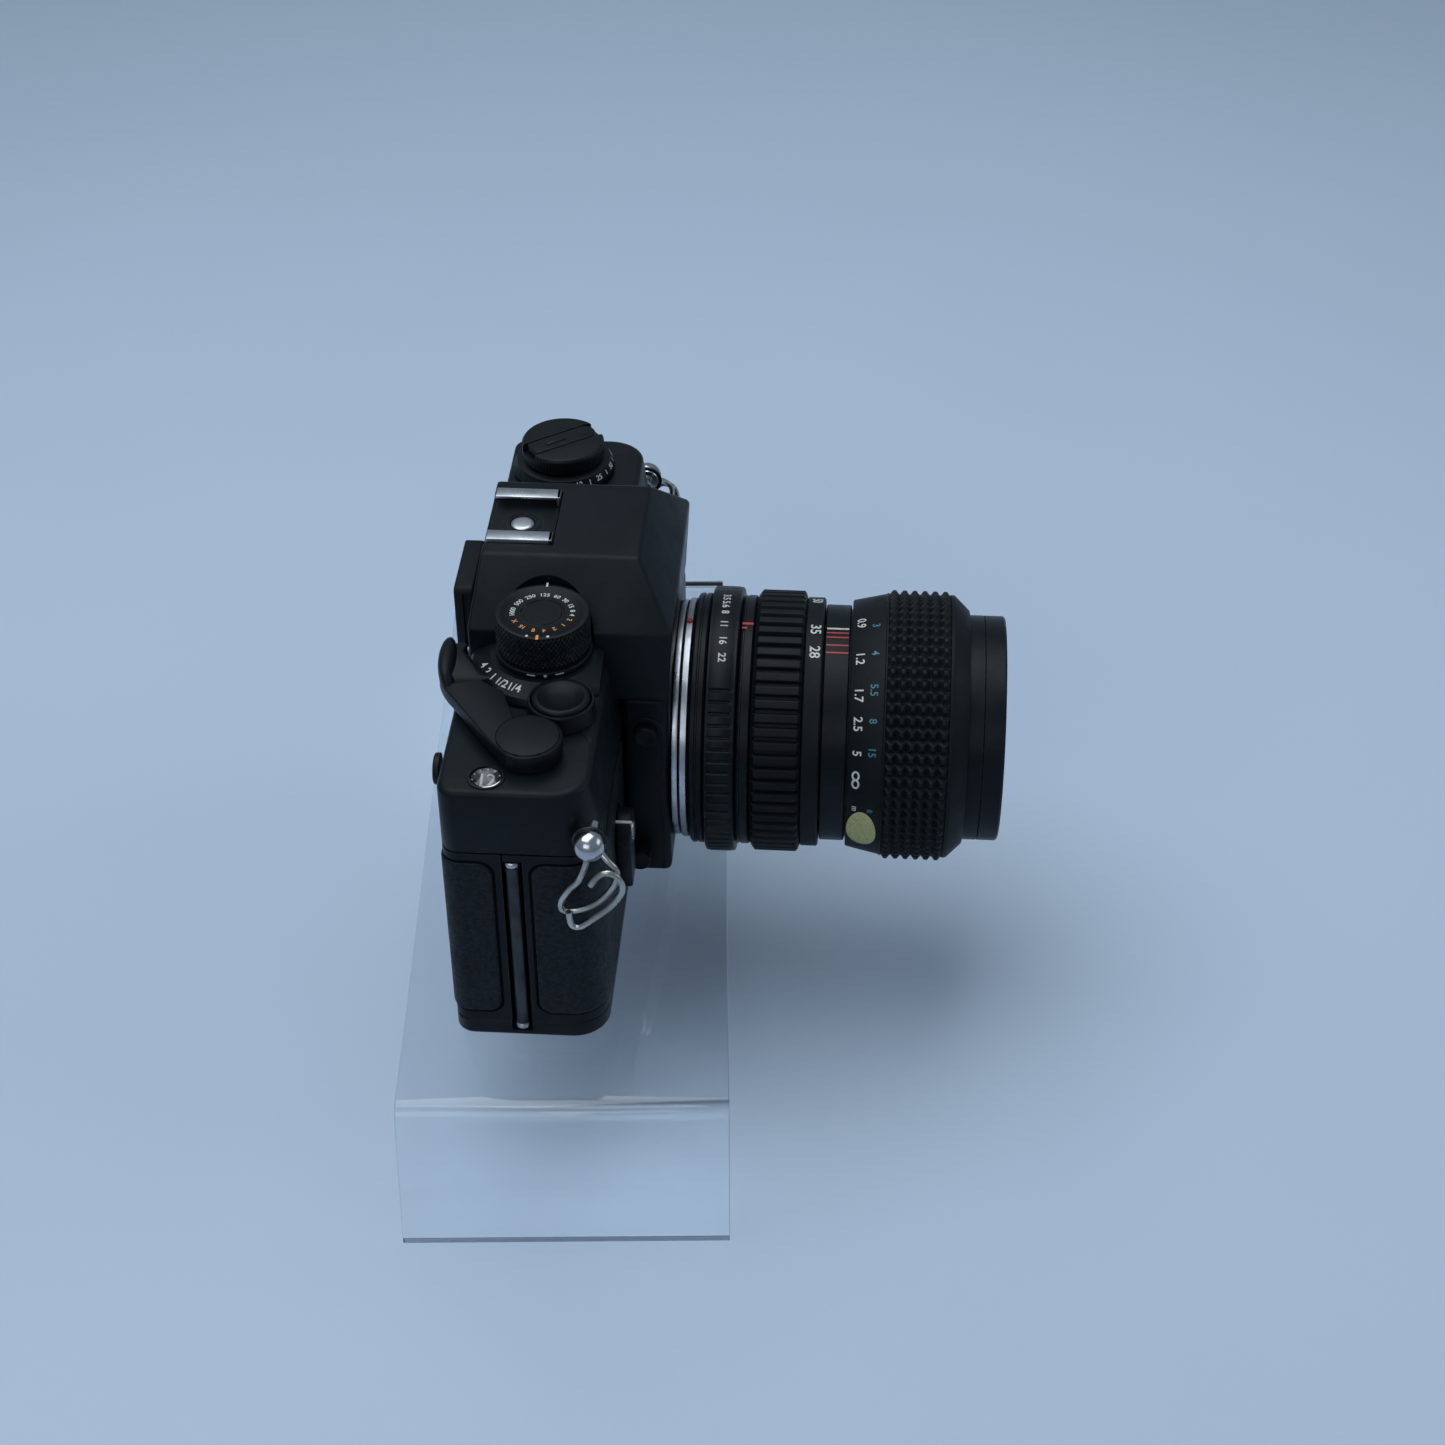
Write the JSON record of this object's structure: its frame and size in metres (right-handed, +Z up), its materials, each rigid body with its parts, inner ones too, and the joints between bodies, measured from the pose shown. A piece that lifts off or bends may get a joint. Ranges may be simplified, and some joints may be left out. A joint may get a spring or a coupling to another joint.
{
  "type": "film camera on riser",
  "caption": "35 mm single-lens reflex film camera with a zoom lens, standing on a clear bent acrylic riser, with working controls, hinged back and shutter.",
  "frame": {"origin": "under the middle of the bounding box, at the height of the riser's feet", "axes": "+Z up, the lens points to -Y, the rewind end of the camera is at +X and the wind-lever end at -X"},
  "size_m": [0.2254, 0.1498, 0.1298],
  "materials": {
    "clear_acrylic": "polished clear acrylic sheet",
    "black_cover": "black satin paint on metal, slightly worn at the edges",
    "leatherette": "fine-grained black leatherette on a thin back",
    "leatherette_casting": "fine-grained black leatherette bonded to an alloy casting",
    "black_control": "black satin paint, knurled where gripped",
    "black_lens": "black anodised alloy with painted scales",
    "rubber_grip": "black ribbed rubber and knurled alloy rings",
    "chrome": "bright satin chrome",
    "steel": "plain steel",
    "dark_metal": "dark metal",
    "black_spool": "black moulded plastic",
    "glass": "coated optical glass",
    "mirror": "front-silvered mirror"
  },
  "bodies": {
    "riser": {"acrylic_riser": "clear_acrylic"},
    "camera": {"body_casting": "leatherette_casting", "top_cover": "black_cover", "base_cover": "black_cover", "front_plate": "black_cover", "camera_mount_flange": "chrome", "mirror_box": "dark_metal", "focusing_screen": "glass", "pentaprism": "glass", "eyepiece_frame": "black_cover", "eyepiece_lens": "glass", "accessory_shoe": "chrome", "shoe_contact": "steel", "counter_window": "glass", "strap_lug_wind": "chrome", "strap_lug_rewind": "chrome", "tripod_bush": "steel", "release_collar": "black_cover", "dial_base": "black_cover", "lens_mount": "chrome", "lens_barrel": "black_lens", "index_ring": "black_lens", "scale_ring": "black_lens", "rear_glass": "glass", "iris_diaphragm": "dark_metal"},
    "back_door": {"back_door": "leatherette", "hinge_rod": "steel", "pressure_plate": "dark_metal"},
    "wind_lever": {"wind_lever": "black_control", "wind_lever_cap": "black_control"},
    "release_button": {"release_button": "black_control"},
    "shutter_dial": {"shutter_dial": "black_control"},
    "compensation_ring": {"compensation_ring": "black_control"},
    "rewind_lift": {"rewind_bushing": "steel"},
    "rewind_knob": {"rewind_knob": "black_control"},
    "rewind_crank": {"rewind_crank": "black_control"},
    "crank_handle": {"crank_handle": "steel"},
    "film_speed_ring": {"film_speed_ring": "black_control"},
    "self_timer": {"self_timer_lever": "black_control"},
    "preview_button": {"preview_button": "black_control"},
    "lens_lock": {"lens_lock_button": "black_control"},
    "back_button": {"back_button": "black_control"},
    "rewind_unlock": {"rewind_unlock_button": "steel"},
    "strap_ring_wind": {"strap_ring_wind": "steel"},
    "strap_ring_rewind": {"strap_ring_rewind": "steel"},
    "aperture_ring": {"aperture_ring": "black_lens"},
    "zoom_ring": {"zoom_ring": "rubber_grip"},
    "focus_ring": {"focus_ring": "rubber_grip"},
    "front_group": {"front_tube": "black_lens", "front_glass": "glass"},
    "zoom_group": {"zoom_group": "black_lens", "zoom_glass": "glass"},
    "reflex_mirror": {"reflex_mirror": "mirror"},
    "shutter_blade_1": {"shutter_blade_1": "dark_metal"},
    "shutter_blade_2": {"shutter_blade_2": "dark_metal"},
    "shutter_blade_3": {"shutter_blade_3": "dark_metal"},
    "take_up_spool": {"take_up_spool": "black_spool"},
    "film_sprocket": {"film_sprocket": "steel"},
    "battery_lid": {"battery_lid": "dark_metal"},
    "frame_counter": {"frame_counter": "black_control"}
  },
  "joints": [
    {"name": "camera_lift", "type": "slide", "parent": "riser", "child": "camera", "axis": [0, 0, 1], "range_m": [0, 0.1]},
    {"name": "back_door_hinge", "type": "hinge", "parent": "camera", "child": "back_door", "pos_m": [-0.07896, 0.03353, 0.0668], "axis": [0, 0, 1], "range_deg": [0, 110]},
    {"name": "wind_lever_hinge", "type": "hinge", "parent": "camera", "child": "wind_lever", "pos_m": [-0.06666, 0.03033, 0.1118], "axis": [0, 0, 1], "range_deg": [0, 130], "stiffness_Nm_per_rad": 0.02},
    {"name": "release_press", "type": "slide", "parent": "camera", "child": "release_button", "axis": [0, 0, -1], "range_m": [0, 0.0015], "stiffness_N_per_m": 400},
    {"name": "shutter_dial_turn", "type": "hinge", "parent": "camera", "child": "shutter_dial", "pos_m": [-0.03436, 0.03053, 0.1188], "axis": [0, 0, 1], "range_deg": [-180, 110]},
    {"name": "compensation_turn", "type": "hinge", "parent": "camera", "child": "compensation_ring", "pos_m": [-0.03436, 0.03053, 0.1138], "axis": [0, 0, 1], "range_deg": [-45, 45]},
    {"name": "rewind_lift_slide", "type": "slide", "parent": "camera", "child": "rewind_lift", "axis": [0, 0, 1], "range_m": [0, 0.008]},
    {"name": "rewind_spin", "type": "hinge", "parent": "rewind_lift", "child": "rewind_knob", "pos_m": [0.04604, 0.03523, 0.1118], "axis": [0, 0, 1], "continuous": true},
    {"name": "crank_fold", "type": "hinge", "parent": "rewind_knob", "child": "rewind_crank", "pos_m": [0.04151, 0.04158, 0.117], "axis": [-0.8141, -0.5807, 0], "range_deg": [0, 110]},
    {"name": "crank_handle_spin", "type": "hinge", "parent": "rewind_crank", "child": "crank_handle", "pos_m": [0.04941, 0.03051, 0.117], "axis": [0, 0, 1], "continuous": true},
    {"name": "film_speed_turn", "type": "hinge", "parent": "camera", "child": "film_speed_ring", "pos_m": [0.04604, 0.03523, 0.1108], "axis": [0, 0, 1], "range_deg": [-120, 120]},
    {"name": "self_timer_turn", "type": "hinge", "parent": "camera", "child": "self_timer", "pos_m": [-0.04996, 0.01253, 0.0738], "axis": [0, -1, 0], "range_deg": [0, 100]},
    {"name": "preview_press", "type": "slide", "parent": "camera", "child": "preview_button", "axis": [1, 0, 0], "range_m": [0, 0.001], "stiffness_N_per_m": 300},
    {"name": "lens_lock_press", "type": "slide", "parent": "camera", "child": "lens_lock", "axis": [1, 0, 0], "range_m": [0, 0.001], "stiffness_N_per_m": 300},
    {"name": "back_button_press", "type": "slide", "parent": "camera", "child": "back_button", "axis": [0, -1, 0], "range_m": [0, 0.001], "stiffness_N_per_m": 300},
    {"name": "rewind_unlock_press", "type": "slide", "parent": "camera", "child": "rewind_unlock", "axis": [0, 0, 1], "range_m": [0, 0.0014], "stiffness_N_per_m": 300},
    {"name": "strap_ring_wind_swing", "type": "hinge", "parent": "camera", "child": "strap_ring_wind", "pos_m": [-0.08196, 0.01603, 0.0968], "axis": [0, 1, 0], "range_deg": [0, 85]},
    {"name": "strap_ring_rewind_swing", "type": "hinge", "parent": "camera", "child": "strap_ring_rewind", "pos_m": [0.06224, 0.01603, 0.0968], "axis": [0, -1, 0], "range_deg": [0, 85]},
    {"name": "aperture_turn", "type": "hinge", "parent": "camera", "child": "aperture_ring", "pos_m": [-0.00496, -0.00847, 0.0718], "axis": [0, 1, 0], "range_deg": [-20, 26]},
    {"name": "zoom_turn", "type": "hinge", "parent": "camera", "child": "zoom_ring", "pos_m": [-0.00496, -0.02347, 0.0718], "axis": [0, 1, 0], "range_deg": [-32, 20]},
    {"name": "focus_turn", "type": "hinge", "parent": "camera", "child": "focus_ring", "pos_m": [-0.00496, -0.05047, 0.0718], "axis": [0, 1, 0], "range_deg": [0, 78]},
    {"name": "front_group_slide", "type": "slide", "parent": "camera", "child": "front_group", "axis": [0, 1, 0], "range_m": [0, 0.0051]},
    {"name": "zoom_group_slide", "type": "slide", "parent": "camera", "child": "zoom_group", "axis": [0, -1, 0], "range_m": [-0.0046, 0.003]},
    {"name": "mirror_flip", "type": "hinge", "parent": "camera", "child": "reflex_mirror", "pos_m": [-0.00496, 0.03653, 0.0852], "axis": [-1, 0, 0], "range_deg": [0, 45]},
    {"name": "shutter_blade_3_slide", "type": "slide", "parent": "camera", "child": "shutter_blade_3", "axis": [0, 0, -1], "range_m": [0, 0.0258], "stiffness_N_per_m": 20, "springref_m": -0.004},
    {"name": "shutter_blade_1_slide", "type": "slide", "parent": "camera", "child": "shutter_blade_1", "axis": [0, 0, -1], "range_m": [0, 0.0087]},
    {"name": "shutter_blade_2_slide", "type": "slide", "parent": "camera", "child": "shutter_blade_2", "axis": [0, 0, -1], "range_m": [0, 0.0173]},
    {"name": "take_up_spin", "type": "hinge", "parent": "camera", "child": "take_up_spool", "pos_m": [-0.06236, 0.03053, 0.0718], "axis": [0, 0, 1], "continuous": true},
    {"name": "sprocket_spin", "type": "hinge", "parent": "camera", "child": "film_sprocket", "pos_m": [-0.03646, 0.03503, 0.0718], "axis": [0, 0, 1], "continuous": true},
    {"name": "battery_lid_turn", "type": "hinge", "parent": "camera", "child": "battery_lid", "pos_m": [-0.03996, 0.03153, 0.0378], "axis": [0, 0, 1], "range_deg": [0, 90]},
    {"name": "frame_counter_turn", "type": "hinge", "parent": "camera", "child": "frame_counter", "pos_m": [-0.07496, 0.03853, 0.1062], "axis": [0, 0, 1], "range_deg": [0, 10]}
  ],
  "couplings": [
    {"joint": "front_group_slide", "follows": "focus_turn", "m_per_rad": 0.003673},
    {"joint": "zoom_group_slide", "follows": "zoom_turn", "m_per_rad": 0.008},
    {"joint": "shutter_blade_1_slide", "follows": "shutter_blade_3_slide", "ratio": 0.33333},
    {"joint": "shutter_blade_2_slide", "follows": "shutter_blade_3_slide", "ratio": 0.66667},
    {"joint": "sprocket_spin", "follows": "take_up_spin", "ratio": 1.3333},
    {"joint": "frame_counter_turn", "follows": "wind_lever_hinge", "ratio": 0.075}
  ]
}
